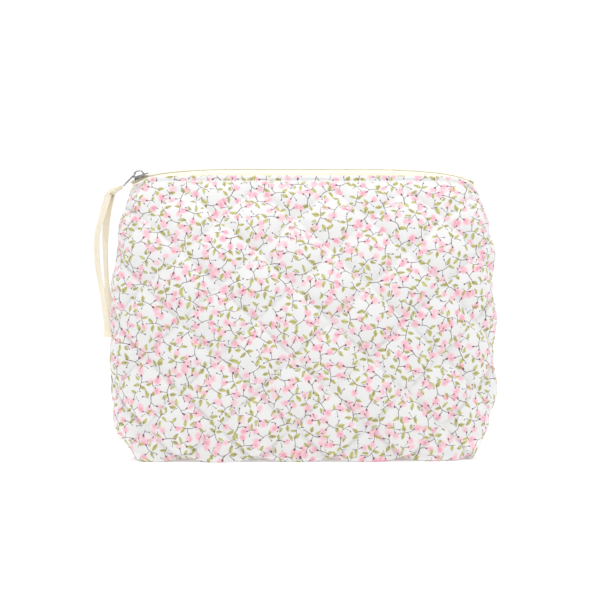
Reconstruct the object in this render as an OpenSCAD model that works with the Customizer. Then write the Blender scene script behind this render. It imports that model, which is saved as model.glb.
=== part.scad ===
// Quilted pouch with a boxed base, a coil zip along the top and a ribbon pull.
// Millimetres. Z is up, the front faces -Y, and the origin is the centre of the base.

/* [Body] */
// Width at the widest section
body_w = 240; // [190:5:300]
// Height of the hemmed edge above the base
body_h = 176; // [140:2:220]
// Depth from front to back at the deepest section
body_d = 82; // [66:2:110]
// Width of the flat base
base_w = 208; // [160:4:240]
// Depth of the flat base
base_d = 74; // [56:2:96]
// Height of the widest section above the base
bulge_h = 75; // [50:5:100]
// Length of the hemmed edge, from end to end
mouth_w = 220; // [180:1:250]
// Gap between the two hems, which the zip fills
mouth_d = 20; // [16:1:26]
// How far the hemmed edge falls at its two ends
shoulder_drop = 12; // [6:1:18]

/* [Layers] */
// Thickness of the printed cotton
print_t = 0.8; // [0.4:0.1:1.2]
// Thickness of the wadding between the two cottons
wadding_t = 2.6; // [1.5:0.1:4]
// Thickness of the lining cotton
lining_t = 0.6; // [0.3:0.1:1]

/* [Lips] */
// Length at each end of the mouth that stays shut
shut_l = 22; // [18:1:40]
// Height of the lips, from the fold to the hem
lip_h = 60; // [45:1:80]
// Clearance round the lips
lip_gap = 0.4; // [0.3:0.1:1]

/* [Seams] */
// Width of the bound seam allowances inside the bag
binding_w = 7; // [4:0.5:10]
// Thickness of a bound seam allowance
binding_t = 1.6; // [1:0.1:2.5]
// Distance from the hem to the row of topstitching
stitch_inset = 4; // [2:0.5:6]
// Diameter of the sewing thread
thread_d = 0.5; // [0.3:0.1:0.8]

/* [Zip] */
// Height of the coil's centre above the hem
zip_rise = 4; // [2:0.5:8]
// Thickness of the woven zip tape
tape_t = 0.6; // [0.4:0.1:1]
// How far each tape reaches under the hem
tape_tuck = 8; // [5:0.5:12]
// Width of one half of the coil
coil_w = 2.4; // [1.8:0.1:3]
// Height of the coil
coil_t = 2; // [1.4:0.1:2.6]
// Gap between the two halves of the zip
zip_gap = 0.3; // [0.3:0.1:0.6]
// Slope of the zip at its two ends, in degrees
end_slope = 27; // [15:1:35]
// Length of the sloping ends of the zip
end_l = 24; // [18:1:30]

/* [Slider] */
// Length of the slider
slider_l = 10; // [9:0.5:13]
// Width of the slider at its wide end
slider_w = 9; // [8:0.5:10]
// Thickness of the slider's two plates
plate_t = 0.8; // [0.6:0.1:1.2]
// Height of the channel between the plates
channel_h = 3.8; // [3.6:0.1:5]
// Outer radius of the bail on top of the slider
bail_r = 3; // [2.6:0.1:3.4]
// Width of the bail
bail_w = 1.8; // [1.4:0.1:2.4]
// Thickness of the bail
bail_t = 0.8; // [0.6:0.1:1]
// Height of the bail's straight legs
bail_leg = 1.2; // [0.8:0.1:2]
// Tilt of the slider at rest, in degrees
slider_tilt = 18; // [10:1:22]

/* [Pull] */
// Wire diameter of the pull ring
ring_wire = 1; // [0.8:0.1:1.2]
// Width of the pull ring, outside
ring_w = 6; // [5:0.2:8]
// Length of the pull ring, outside
ring_l = 11.5; // [10:0.5:16]
// Angle at which the ring hangs below level, in degrees
ring_hang = 46; // [30:1:60]

/* [Ribbon] */
// Width of the ribbon
ribbon_w = 6; // [5:0.5:7]
// Thickness of the ribbon
ribbon_t = 0.8; // [0.5:0.1:1]
// Angle of the ribbon's flat side to the front, in degrees
ribbon_turn = 45; // [30:5:60]
// Length of the hitch that ties the ribbon to the ring
knot_l = 11; // [9:0.5:13]

/* [Hidden] */

// The number of columns round half of the bag, and of rows up its wall.
COLUMNS = 24;
ROWS = 14;
// Rows from the base to the top of the wadding, which stops short of the hem.
WADDING_ROWS = ROWS - 1;
// Stitches drawn in each row of topstitching.
STITCHES = 22;
// How square the level sections are at the widest section and at the hem: 2 is an ellipse.
MID_SQUARENESS = 3;
HEM_SQUARENESS = 6;
// How sharply the wall turns out above the base, and the hem falls at its ends.
BASE_TURN = 4;
DROP_TURN = 16;
// Larger than any part of the bag, for cutting.
FAR = 400;
// Clearance between metal and cloth.
CLEAR = 0.5;
// Clearance between two pieces that lie against each other.
TOUCH = 0.1;
// Clearance between the ring and the bail, which the ring's round end curves towards.
RING_GAP = 0.3;
// Lengths without stitches or coil at the ends of a seam and of the zip.
PLAIN_END = 4;

// Insets of the four surfaces between the layers, from the outside in.
under_print = print_t;
under_wadding = under_print + wadding_t;
under_lining = under_wadding + lining_t;

// The fold that a lip turns about lies on the outside of the bag. The lips swing between the mouth's ends.
fold_z = body_h - lip_h;
lip_w = mouth_w - 2 * shut_l;

// Inner edge of the right corner's binding.
corner_x = base_w / 2 - under_lining - 3 * binding_w;

// The slider rests this share of the way down the left end of the zip.
REST = 0.52;
// How far the left end's tapes lie under the coil's centre, so that the slider clears them.
STRIP_DROP = 0.3;

// Height of the coil's centre, half of its straight run, and the place where the slider rests.
zip_z = body_h + zip_rise;
run = lip_w / 2 + 2 * CLEAR;
rest_x = -(run + REST * end_l * cos(end_slope));
rest_z = zip_z - REST * end_l * sin(end_slope);

// The rims on the long sides of the slider's two plates, and the post between the plates.
rim_l = 0.5 * slider_l;
rim_t = 0.8;
rim_h = 0.4;
post_d = 2.2;

// The plates' corners, how much narrower they are at the closed end, and the notch in the other.
wide_corner = 1.6;
narrow_corner = 1;
taper = 0.9;
notch = 1;

// The ring hangs from this point under the bail, in the slider's own frame.
bail_x = -1.5;
bail_z = channel_h / 2 + plate_t;
pin_x = bail_x - (bail_r - bail_t - ring_wire / 2) + RING_GAP;
pin_z = bail_z + bail_leg + ring_wire / 2;
pin = [
    rest_x + pin_x * cos(slider_tilt) - pin_z * sin(slider_tilt),
    0,
    rest_z + pin_x * sin(slider_tilt) + pin_z * cos(slider_tilt)
];
ring_reach = ring_l - ring_wire;

// The hitch's slope below level, its thickness, how far it lies behind the ring's middle, and how
// far its flat foot lies below the ring's far end.
KNOT_SLOPE = 28;
knot_t = 3.8;
knot_y = 0.6;
knot_drop = 5;

// Centre of the ribbon's route: out of the knot, down, round the loop's foot and back up.
RIBBON = [
    [-121.4, -0.7, 164.6], [-121.6, -0.7, 162.6], [-122.5, -0.9, 159.5], [-123.8, -1.3, 155.5],
    [-125.3, -1.8, 150], [-127.1, -2, 144], [-128.1, -2, 137], [-128.3, -1.8, 130],
    [-127.9, -1, 122], [-127, 0.4, 115], [-125.8, 2.4, 108], [-124.5, 5, 101],
    [-123.5, 8, 93.5], [-122.6, 11.2, 87], [-122, 13.8, 81], [-121.6, 15.8, 77.2],
    [-121.2, 18, 75.6], [-120.8, 20.2, 76.4], [-120.5, 21.6, 79], [-120.4, 21.6, 83],
    [-120.6, 20, 90], [-121.2, 17.4, 97.6], [-121.9, 14.4, 105.5], [-122.5, 11.4, 114],
    [-122.9, 8.8, 122], [-123.1, 6.8, 130], [-123, 5.2, 138], [-122.5, 4, 146],
    [-121.6, 3, 153], [-120.5, 2.3, 159], [-119.5, 2, 163], [-119.3, 2, 164.6]
];

// --- Shape of the bag -------------------------------------------------------

// Share of the way from the widest section up to the hem; it is below 0 under that section.
function climb(z) = (z - bulge_h) / (body_h - bulge_h);

// Half width of the level section at height z.
function half_w(z) = z < bulge_h
    ? body_w / 2 - (body_w - base_w) / 2 * pow(1 - z / bulge_h, BASE_TURN)
    : body_w / 2 - (body_w - mouth_w) / 2 * pow(climb(z), 3);

// Half depth of the level section at height z.
function half_d(z) = z < bulge_h
    ? body_d / 2 - (body_d - base_d) / 2 * pow(1 - z / bulge_h, BASE_TURN)
    : mouth_d / 2 + (body_d - mouth_d) / 2 * (1 - pow(climb(z), 2));

// How far the wall at height z falls where it nears the ends of the mouth.
function drop(z) = z < bulge_h ? 0 : shoulder_drop * pow(climb(z), 4);

// How square the section at height z is.
function squareness(z) = MID_SQUARENESS + (HEM_SQUARENESS - MID_SQUARENESS) * pow(climb(z), 2);

// A point at angle a of an outline of half size 1, between round and square as n grows.
function outline(a, n) =
    let (k = pow(pow(abs(cos(a)), n) + pow(abs(sin(a)), n), -1 / n))
    [k * cos(a), k * sin(a)];

// A point of the front wall: a runs from the right seam to the left one, t from base to hem.
function wall_point(a, t, inset) =
    let (z = inset + (body_h - inset) * t, o = outline(a, squareness(z)))
    [
        (half_w(z) - inset) * o[0],
        -(half_d(z) - inset) * o[1],
        z - drop(z) * pow(abs(o[0]), DROP_TURN)
    ];

// Rows of points over the front half of the bag: the base's middle line, then the wall.
function wall_grid(inset, rows) = [
    for (c = [0:COLUMNS])
        let (p = wall_point(180 * c / COLUMNS, 0, inset))
        [p[0], 0, p[2]],
    for (r = [0:rows], c = [0:COLUMNS])
        wall_point(180 * c / COLUMNS, rise(r), inset)
];

// Rows lie closer together near the base and the hem, where the wall curves most.
function rise(r) = let (u = r / ROWS) u + 0.09 * sin(-360 * u);

// Triangles over a grid of points, with a given number of rows and columns of cells.
function sheet_faces(rows, columns, start, out) = [
    for (r = [0:rows - 1], c = [0:columns - 1])
        let (p = start + r * (columns + 1) + c, q = p + columns + 1)
        each out ? [[p, q, p + 1], [p + 1, q, q + 1]] : [[p, p + 1, q], [p + 1, q + 1, q]]
];

// Triangles that join two copies of a line of points, from list a to list b.
function strip_faces(a, b) = [
    for (i = [0:len(a) - 2])
        each [[a[i], a[i + 1], b[i]], [a[i + 1], b[i + 1], b[i]]]
];

// One cotton or wadding layer of the front half of the bag, between two insets.
module layer(outer, inner, rows = ROWS) {
    grid_rows = rows + 1;
    last = grid_rows * (COLUMNS + 1);
    count = (grid_rows + 1) * (COLUMNS + 1);
    bottom = [for (c = [0:COLUMNS]) c];
    top = [for (c = [0:COLUMNS]) last + c];
    right = [for (r = [0:grid_rows]) r * (COLUMNS + 1)];
    left = [for (r = [0:grid_rows]) r * (COLUMNS + 1) + COLUMNS];
    polyhedron(
        points = concat(wall_grid(outer, rows), wall_grid(inner, rows)),
        faces = concat(
            sheet_faces(grid_rows, COLUMNS, 0, true),
            sheet_faces(grid_rows, COLUMNS, count, false),
            strip_faces(bottom, [for (i = bottom) i + count]),
            strip_faces([for (i = top) i + count], top),
            strip_faces([for (i = right) i + count], right),
            strip_faces(left, [for (i = left) i + count])
        )
    );
}

// The space that a lip swings in, made larger by a margin.
module lip_space(margin) {
    translate([-lip_w / 2 - margin, -FAR, fold_z - margin])
        cube([lip_w + 2 * margin, FAR + mouth_d, FAR]);
}

// The notch at each end of the mouth, where the zip runs down to the side seam.
module zip_notch() {
    notch_w = slider_w + 4 * CLEAR;
    slider_thick = channel_h + 2 * plate_t;
    translate([-FAR / 2, -notch_w / 2, zip_z - end_l * sin(end_slope) - slider_thick - CLEAR])
        cube([FAR, notch_w, FAR]);
}

// The fixed part of a layer: everything but its lip.
module fixed_layer(outer, inner, rows = ROWS) {
    difference() {
        layer(outer, inner, rows);
        lip_space(lip_gap);
        zip_notch();
    }
}

// The part of a layer that swings with the lip.
module lip_layer(outer, inner, rows = ROWS) {
    intersection() {
        layer(outer, inner, rows);
        lip_space(0);
    }
}

module front_panel() { color("mistyrose") fixed_layer(0, under_print); }
module front_wadding() { color("white") fixed_layer(under_print, under_wadding, WADDING_ROWS); }
module front_lining() { color("seashell") fixed_layer(under_wadding, under_lining); }
module front_upper_panel() { color("mistyrose") lip_layer(0, under_print); }
module front_upper_wadding() { color("white") lip_layer(under_print, under_wadding, WADDING_ROWS); }
module front_upper_lining() { color("seashell") lip_layer(under_wadding, under_lining); }

// --- Bound seams inside -----------------------------------------------------

// A bound seam allowance that stands in from the right side seam. It follows the lining's own rows.
module right_side_binding() {
    low = under_lining + 2 * binding_w;
    seam = [
        for (r = [0:ROWS])
            let (p = wall_point(0, rise(r), under_lining))
            if (p[2] > low && p[2] < fold_z) [p[0], p[2]]
    ];
    color("ivory")
        rotate([90, 0, 0])
            linear_extrude(binding_t, center = true)
                polygon(concat(
                    [for (p = seam) p - [2 * TOUCH, 0]],
                    [for (i = [len(seam) - 1:-1:0]) seam[i] - [binding_w, 0]]
                ));
}

// The base seam's allowance lies flat along the middle of the base, between the two corners'.
module base_binding() {
    color("ivory")
        translate([-corner_x, -binding_w / 2, under_lining])
            cube([2 * corner_x, binding_w, binding_t]);
}

// A boxed corner's allowance lies flat across the right end of the base.
module right_corner_binding() {
    length = base_d - 4 * binding_w;
    color("ivory")
        translate([corner_x, -length / 2, under_lining])
            cube([binding_w, length, binding_t]);
}

// --- Zip --------------------------------------------------------------------

// Half of the gap between the two linings at the hem, where the lips end and it is smallest.
function zip_room() =
    let (across = (lip_w / 2) / (mouth_w / 2 - under_lining))
    (mouth_d / 2 - under_lining) * pow(1 - pow(across, HEM_SQUARENESS), 1 / HEM_SQUARENESS);

// The straight run of the front tape, from under the hem up to the coil.
module front_zip_tape() {
    outer_y = -zip_room() + TOUCH;
    bend_y = outer_y + tape_t;
    inner_y = -zip_gap / 2;
    top_z = zip_z - coil_t / 2;
    tuck_z = body_h - tape_tuck;
    color("lemonchiffon")
        rotate([90, 0, 90])
            linear_extrude(lip_w, center = true)
                polygon([
                    [inner_y, top_z], [inner_y, top_z - tape_t], [bend_y, top_z - tape_t],
                    [bend_y, tuck_z], [outer_y, tuck_z], [outer_y, top_z]
                ]);
}

// One half of the coil, flat below and rounded above.
module coil_outline() {
    intersection() {
        translate([-coil_w - zip_gap / 2, -coil_t / 2]) square([coil_w, coil_t]);
        translate([-coil_w / 2 - zip_gap / 2, -coil_t / 2]) circle(r = coil_t, $fn = 48);
    }
}

module front_zip_coil() {
    color("ivory")
        translate([0, 0, zip_z])
            rotate([90, 0, 90])
                linear_extrude(lip_w, center = true)
                    coil_outline();
}

// Places its children on the sloping right end of the zip, with X running down the slope.
module on_right_end() {
    translate([run, 0, zip_z]) rotate([0, end_slope, 0]) children();
}

// The joined end of the zip: both tapes, and the coil as far as the bar tack.
module right_zip_end() {
    half = slider_w / 2;
    color("lemonchiffon")
        on_right_end() {
            translate([0, -half, -coil_t / 2 - tape_t]) cube([end_l, 2 * half, tape_t]);
            for (side = [0, 1])
                mirror([0, side, 0])
                    rotate([90, 0, 90])
                        linear_extrude(end_l - PLAIN_END)
                            coil_outline();
        }
}

// The left end is open at the middle, so that the slider's post can stand between the tapes.
module left_zip_end() {
    half = slider_w / 2;
    slit = post_d / 2 + 2 * CLEAR;
    color("lemonchiffon")
        mirror([1, 0, 0])
            on_right_end()
                for (side = [0, 1])
                    mirror([0, side, 0])
                        translate([0, slit, -STRIP_DROP - tape_t])
                            cube([end_l, half - slit, tape_t]);
}

// Thread wound across the tapes to stop the slider, at a height above the coil's centre.
module bar_tack(height) {
    color("ivory")
        on_right_end()
            for (i = [0:2])
                translate([
                    end_l - PLAIN_END / 2 + (i - 1) * 1.2 * thread_d,
                    0,
                    height + thread_d / 2 + TOUCH
                ])
                    rotate([90, 0, 0])
                        cylinder(d = thread_d, h = slider_w - 1, center = true, $fn = 16);
}

module right_bar_tack() { bar_tack(-coil_t / 2); }
module left_bar_tack() { to_left() bar_tack(-STRIP_DROP); }

// A row of topstitching along the front hem, laid on the outside of the lip.
module front_topstitch() {
    z = body_h - stitch_inset;
    length = lip_w - 2 * PLAIN_END;
    step = length / STITCHES;
    color("ivory")
        for (i = [0:STITCHES - 1])
            link(hem_point(i * step - length / 2, z), hem_point((i + 1) * step - length / 2, z));
}

// Centre of a thread that lies on the outside of the front wall, at a place x and a height z.
function hem_point(x, z) =
    let (n = squareness(z), across = abs(x) / half_w(z), y = half_d(z) * pow(1 - pow(across, n), 1 / n))
    [x, -y - thread_d / 2 - 2 * TOUCH, z - drop(z) * pow(across, DROP_TURN)];

// A round stitch of thread from one point almost to another.
module link(a, b) {
    v = b - a;
    translate(a)
        rotate([0, acos(v[2] / norm(v)), atan2(v[1], v[0])])
            cylinder(d = thread_d, h = norm(v) - thread_d, $fn = 16);
}

// --- Slider and pull --------------------------------------------------------

// Places its children in the slider's own frame: X along the zip, Z out of the zip.
module at_slider() {
    translate([rest_x, 0, rest_z]) rotate([0, -slider_tilt, 0]) children();
}

// The plates' outline: wide at the open end, narrower where the coils come together.
module plate_outline() {
    wide = slider_w / 2;
    narrow = wide - taper;
    half = slider_l / 2;
    neck = -0.1 * slider_l;
    lower = [
        [-half, -wide + wide_corner], [-half + wide_corner, -wide], [neck, -wide],
        [half - narrow_corner, -narrow], [half, -narrow + narrow_corner]
    ];
    upper = [for (i = [len(lower) - 1:-1:0]) [lower[i][0], -lower[i][1]]];
    polygon(concat(lower, upper, [[-half + notch, 0]]));
}

// The rims that close the channel's sides, with a slot left for the tape.
module rims() {
    for (side = [0, 1])
        mirror([0, side, 0])
            translate([-rim_l / 2, slider_w / 2 - rim_t, 0])
                cube([rim_l, rim_t, rim_h]);
}

// The bail: a hoop on two legs along the slider's top, which the pull ring hangs in.
module bail() {
    translate([bail_x, 0, bail_z + bail_leg])
        rotate([90, 0, 0])
            rotate_extrude(angle = 180, $fn = 48)
                translate([bail_r - bail_t, -bail_w / 2])
                    square([bail_t, bail_w]);
    for (x = [-bail_r, bail_r - bail_t])
        translate([bail_x + x, -bail_w / 2, bail_z])
            cube([bail_t, bail_w, bail_leg]);
}

module slider() {
    post_x = -0.31 * slider_l;
    color("silver")
        at_slider() {
            translate([0, 0, channel_h / 2]) linear_extrude(plate_t) plate_outline();
            translate([0, 0, -channel_h / 2 - plate_t]) linear_extrude(plate_t) plate_outline();
            translate([post_x, 0, 0])
                cylinder(d = post_d, h = channel_h + plate_t, center = true, $fn = 32);
            translate([0, 0, channel_h / 2 - rim_h]) rims();
            translate([0, 0, -channel_h / 2]) rims();
            bail();
        }
}

// Places its children at the ring's pin, with X along the ring towards its far end.
module at_pin() {
    translate(pin) rotate([0, 180 - ring_hang, 0]) children();
}

// A long wire ring with half-round ends; its near end passes under the bail.
module pull_ring() {
    r = (ring_w - ring_wire) / 2;
    span = ring_reach - 2 * r;
    color("silver")
        at_pin() {
            for (side = [-1, 1])
                translate([r, side * r, 0])
                    rotate([0, 90, 0])
                        cylinder(d = ring_wire, h = span, $fn = 32);
            translate([r, 0, 0])
                rotate([0, 0, 90])
                    rotate_extrude(angle = 180, $fn = 64)
                        translate([r, 0]) circle(d = ring_wire, $fn = 32);
            translate([r + span, 0, 0])
                rotate([0, 0, -90])
                    rotate_extrude(angle = 180, $fn = 64)
                        translate([r, 0]) circle(d = ring_wire, $fn = 32);
        }
}

// --- Ribbon -----------------------------------------------------------------

// The ribbon's section: flat, with eased edges, turned to its angle to the front.
SECTION = [
    [-0.5, -0.25], [-0.44, -0.5], [0.44, -0.5], [0.5, -0.25],
    [0.5, 0.25], [0.44, 0.5], [-0.44, 0.5], [-0.5, 0.25]
];

function unit(v) = v / norm(v);

// The ribbon's direction of travel at point i of its route.
function heading(i) = unit(RIBBON[min(i + 1, len(RIBBON) - 1)] - RIBBON[max(i - 1, 0)]);

// The ribbon's width runs level, and its thickness is square to its width and heading.
function section_points(i) =
    let (
        wide = [cos(ribbon_turn), -sin(ribbon_turn), 0],
        ahead = heading(i),
        thick = unit(cross(wide, ahead))
    )
    [for (s = SECTION) RIBBON[i] + s[0] * ribbon_w * wide + s[1] * ribbon_t * thick];

module pull_ribbon() {
    sides = len(SECTION);
    rings = len(RIBBON);
    color("bisque")
        polyhedron(
            points = [for (i = [0:rings - 1]) each section_points(i)],
            faces = concat(
                [[for (s = [0:sides - 1]) s]],
                [[for (s = [sides - 1:-1:0]) (rings - 1) * sides + s]],
                [for (i = [0:rings - 2], s = [0:sides - 1])
                    let (p = i * sides + s, q = i * sides + (s + 1) % sides)
                    each [[p, p + sides, q], [q, p + sides, q + sides]]]
            )
        );
}

// The hitch that ties the ribbon to the ring: an egg round the ring's far end.
module ribbon_knot() {
    far_end = pin + ring_reach * [-cos(ring_hang), 0, -sin(ring_hang)];
    start = ring_wire / 2 + CLEAR;
    color("bisque")
        difference() {
            translate(far_end)
                rotate([0, 180 - KNOT_SLOPE, 0])
                    translate([start + knot_l / 2, knot_y, 0])
                        intersection() {
                            cube([knot_l, ribbon_w - knot_y, knot_t], center = true);
                            rotate([0, 90, 0])
                                cylinder(d = ribbon_w, h = knot_l, center = true, $fn = 32);
                        }
            translate([-FAR / 2, -FAR / 2, far_end[2] - knot_drop - FAR]) cube(FAR);
        }
}

// --- Back half and left side, which mirror the front and the right -----------

module to_back() { mirror([0, 1, 0]) children(); }
module to_left() { mirror([1, 0, 0]) children(); }

front_panel();
to_back() front_panel();  // back_panel
front_wadding();
to_back() front_wadding();  // back_wadding
front_lining();
to_back() front_lining();  // back_lining
to_left() right_side_binding();  // left_side_binding
right_side_binding();
base_binding();
to_left() right_corner_binding();  // left_corner_binding
right_corner_binding();
left_zip_end();
right_zip_end();
left_bar_tack();
right_bar_tack();
front_upper_panel();
front_upper_wadding();
front_upper_lining();
front_zip_tape();
front_zip_coil();
front_topstitch();
to_back() front_upper_panel();  // back_upper_panel
to_back() front_upper_wadding();  // back_upper_wadding
to_back() front_upper_lining();  // back_upper_lining
to_back() front_zip_tape();  // back_zip_tape
to_back() front_zip_coil();  // back_zip_coil
to_back() front_topstitch();  // back_topstitch
slider();
pull_ring();
pull_ribbon();
ribbon_knot();
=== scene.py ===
import math

import bmesh
import bpy
import numpy as np
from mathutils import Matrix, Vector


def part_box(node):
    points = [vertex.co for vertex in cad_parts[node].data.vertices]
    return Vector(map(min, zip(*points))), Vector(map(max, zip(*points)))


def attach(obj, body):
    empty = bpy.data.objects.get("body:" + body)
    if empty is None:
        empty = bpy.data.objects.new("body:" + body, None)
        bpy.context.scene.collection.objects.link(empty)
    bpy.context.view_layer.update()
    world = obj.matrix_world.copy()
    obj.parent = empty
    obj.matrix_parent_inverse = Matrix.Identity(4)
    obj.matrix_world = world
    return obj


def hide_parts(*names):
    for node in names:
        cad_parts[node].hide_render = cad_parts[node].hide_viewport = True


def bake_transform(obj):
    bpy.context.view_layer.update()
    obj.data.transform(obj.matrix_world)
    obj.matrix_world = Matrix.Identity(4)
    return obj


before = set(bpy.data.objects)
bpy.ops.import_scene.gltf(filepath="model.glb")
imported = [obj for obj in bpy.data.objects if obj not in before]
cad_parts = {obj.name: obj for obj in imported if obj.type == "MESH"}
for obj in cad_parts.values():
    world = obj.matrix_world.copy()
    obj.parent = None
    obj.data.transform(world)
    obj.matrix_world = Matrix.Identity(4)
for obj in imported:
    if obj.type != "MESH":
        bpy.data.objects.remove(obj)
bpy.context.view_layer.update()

# ---------------------------------------------------------------- sizes, in metres

MM = 0.001
SHELL_LOW, SHELL_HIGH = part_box("front_panel")
LIP_LOW, LIP_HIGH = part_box("front_upper_panel")
BODY_W = SHELL_HIGH.x - SHELL_LOW.x
BODY_D = 2 * -SHELL_LOW.y
HEM_Z = LIP_HIGH.z
FOLD_Z = LIP_LOW.z
COIL_LOW, COIL_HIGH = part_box("front_zip_coil")
COIL_Z = 0.5 * (COIL_LOW.z + COIL_HIGH.z)

# The bag's outline, as the CAD shell has it.
BASE_W = 208 * MM
BASE_D = 74 * MM
BULGE_Z = 75 * MM
MOUTH_W = 220 * MM
MOUTH_D = 20 * MM
SHOULDER_DROP = 12 * MM
BASE_TURN = 4
DROP_TURN = 16
MID_SQUARENESS = 3
HEM_SQUARENESS = 6

# Cloth layers, from the outside in.
PRINT_T = 0.8 * MM
WADDING_T = 2.6 * MM
LINING_T = 0.6 * MM
WALL_T = PRINT_T + WADDING_T + LINING_T

ALONG_X, ALONG_Y, ALONG_Z = np.eye(3)

# The diamonds of the quilting, how far they puff, the gathers beside each seam, and the cloth's slack.
DIAMOND_W = 46.4 * MM
DIAMOND_H = 43.4 * MM
DIAMOND_X = 15.6 * MM
DIAMOND_Z = 130 * MM
PUFF = 4.4 * MM
PUFF_MEAN = 0.6
GATHERS = 9
GATHER_DEPTH = 0.4 * MM
SLACK = 1.2 * MM

# The printed cloth's filling: steps, push, a point's mass, and the furthest that a point moves.
FILL_STEPS = 10
FILL_PUSH = 200000
FILL_MASS = 0.0001
FILL_CAP = 1.5 * MM

# Where the cloth is held as it fills: by a seam, by the side seams, at the foot, and up at the hem.
HELD_SEAM = 0.12
HELD_SIDE = 6 * MM
HELD_FOOT = 8 * MM
HELD_TOP = 158 * MM

# The back's print is turned over and shifted, so that it doesn't mirror the front's.
BACK_SHIFT = np.array([0.011, 0.007])

# The slider's place at rest, its tilt, and the pull ring's two ends.
TILT = math.radians(18)
SLIDER = np.array([-100.12, 0, 174.334]) * MM
PIN = np.array([-104.237, 0, 177.623]) * MM
RING_END = np.array([-111.531, 0, 170.07]) * MM
KNOT_SLOPE = math.radians(28)

# The ribbon's centre: out of the hitch, down, round the loop's foot and back up.
RIBBON = np.array([
    [-121.4, -0.7, 164.6], [-121.6, -0.7, 162.6], [-122.5, -0.9, 159.5], [-123.8, -1.3, 155.5],
    [-125.3, -1.8, 150], [-127.1, -2, 144], [-128.1, -2, 137], [-128.3, -1.8, 130],
    [-127.9, -1, 122], [-127, 0.4, 115], [-125.8, 2.4, 108], [-124.5, 5, 101],
    [-123.5, 8, 93.5], [-122.6, 11.2, 87], [-122, 13.8, 81], [-121.6, 15.8, 77.2],
    [-121.2, 18, 75.6], [-120.8, 20.2, 76.4], [-120.5, 21.6, 79], [-120.4, 21.6, 83],
    [-120.6, 20, 90], [-121.2, 17.4, 97.6], [-121.9, 14.4, 105.5], [-122.5, 11.4, 114],
    [-122.9, 8.8, 122], [-123.1, 6.8, 130], [-123, 5.2, 138], [-122.5, 4, 146],
    [-121.6, 3, 153], [-120.5, 2.3, 159], [-119.5, 2, 163], [-119.3, 2, 164.6]
]) * MM
RIBBON_W = 6 * MM
RIBBON_T = 0.5 * MM
RIBBON_LENGTH = 0.190
RIBBON_TURN = math.radians(45)


# ---------------------------------------------------------------- mesh helpers

def put_mesh(name, points, faces, material, cloth=None):
    """Makes a smooth mesh object from arrays. cloth is a flat pattern place for each point."""
    mesh = bpy.data.meshes.new(name)
    mesh.from_pydata(points.reshape(-1, 3).tolist(), [], [list(map(int, f)) for f in faces])
    if cloth is not None:
        flat = np.zeros((len(mesh.vertices), 3), np.float32)
        flat[:, :2] = cloth.reshape(-1, 2)
        layer = mesh.attributes.new("cloth", "FLOAT_VECTOR", "POINT")
        layer.data.foreach_set("vector", flat.ravel())
    mesh.polygons.foreach_set("use_smooth", np.ones(len(mesh.polygons), bool))
    mesh.materials.append(material)
    piece = bpy.data.objects.new(name, mesh)
    bpy.context.collection.objects.link(piece)
    return piece


def tidy_mesh(piece, closed=True):
    """Joins points that coincide, drops faces with no area and turns a closed mesh's faces outwards."""
    gap = 1e-6
    work = bmesh.new()
    work.from_mesh(piece.data)
    bmesh.ops.remove_doubles(work, verts=work.verts, dist=gap)
    bmesh.ops.dissolve_degenerate(work, edges=work.edges, dist=gap)
    if closed:
        bmesh.ops.recalc_face_normals(work, faces=work.faces)
    work.to_mesh(piece.data)
    work.free()
    return piece


def grid_faces(rows, columns, wrap=False, ring=False):
    """Four-sided faces over a grid. wrap joins the last column to the first, and ring the last row."""
    r, c = np.indices((rows if ring else rows - 1, columns if wrap else columns - 1))
    r, below = r * columns, (r + 1) % rows * columns
    after = (c + 1) % columns
    return np.stack([r + c, below + c, below + after, r + after], -1).reshape(-1, 4)


def points_of(piece):
    """The places of a mesh object's points."""
    place = np.zeros(len(piece.data.vertices) * 3)
    piece.data.vertices.foreach_get("co", place)
    return place.reshape(-1, 3)


def unit(v):
    """Vectors scaled to length 1."""
    return v / np.maximum(np.linalg.norm(v, axis=-1, keepdims=True), 1e-12)


def smooth(x, low, high):
    """Rises smoothly from 0 at low to 1 at high."""
    t = np.clip((x - low) / (high - low), 0, 1)
    return t * t * (3 - 2 * t)


def curve_through(points, count):
    """A Catmull-Rom curve through the points, at count places spread evenly along its length."""
    ends = np.vstack([2 * points[0] - points[1], points, 2 * points[-1] - points[-2]])
    t = np.linspace(0, 1, 24, endpoint=False)[:, None, None]
    a, b, c, d = ends[:-3], ends[1:-2], ends[2:-1], ends[3:]
    dense = 0.5 * (2 * b + (c - a) * t + (2 * a - 5 * b + 4 * c - d) * t ** 2
                   + (3 * b - a - 3 * c + d) * t ** 3)
    dense = np.vstack([dense.transpose(1, 0, 2).reshape(-1, 3), points[-1]])
    along = np.append(0, np.cumsum(np.linalg.norm(np.diff(dense, axis=0), axis=1)))
    even = np.linspace(0, along[-1], count)
    return np.stack([np.interp(even, along, dense[:, i]) for i in range(3)], 1)


def sweep(path, side, section, scale=None):
    """A closed section carried along a path: each point is path + x * side + y * (tangent x side)."""
    tangent = unit(np.gradient(path, axis=0))
    side = np.broadcast_to(side, path.shape)
    side = unit(side - (side * tangent).sum(1, keepdims=True) * tangent)
    up = np.cross(tangent, side)
    shape = np.broadcast_to(section, (len(path),) + section.shape[-2:])
    if scale is not None:
        shape = shape * scale[:, None, None]
    return path[:, None] + shape[..., :1] * side[:, None] + shape[..., 1:] * up[:, None]


def capped(points):
    """The points and faces of a swept section, with both ends closed."""
    rows, columns = points.shape[:2]
    faces = list(grid_faces(rows, columns, wrap=True))
    faces += [np.arange(columns), (rows - 1) * columns + np.arange(columns)[::-1]]
    return points, faces


def tube(name, path, side, section, material, cloth=None):
    """A swept section with its two ends closed."""
    points, faces = capped(sweep(path, side, section))
    return tidy_mesh(put_mesh(name, points, faces, material, cloth))


def round_section(radius, count=16):
    """A circle."""
    a = np.arange(count) * 2 * np.pi / count
    return radius * np.stack([np.cos(a), np.sin(a)], 1)


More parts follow.
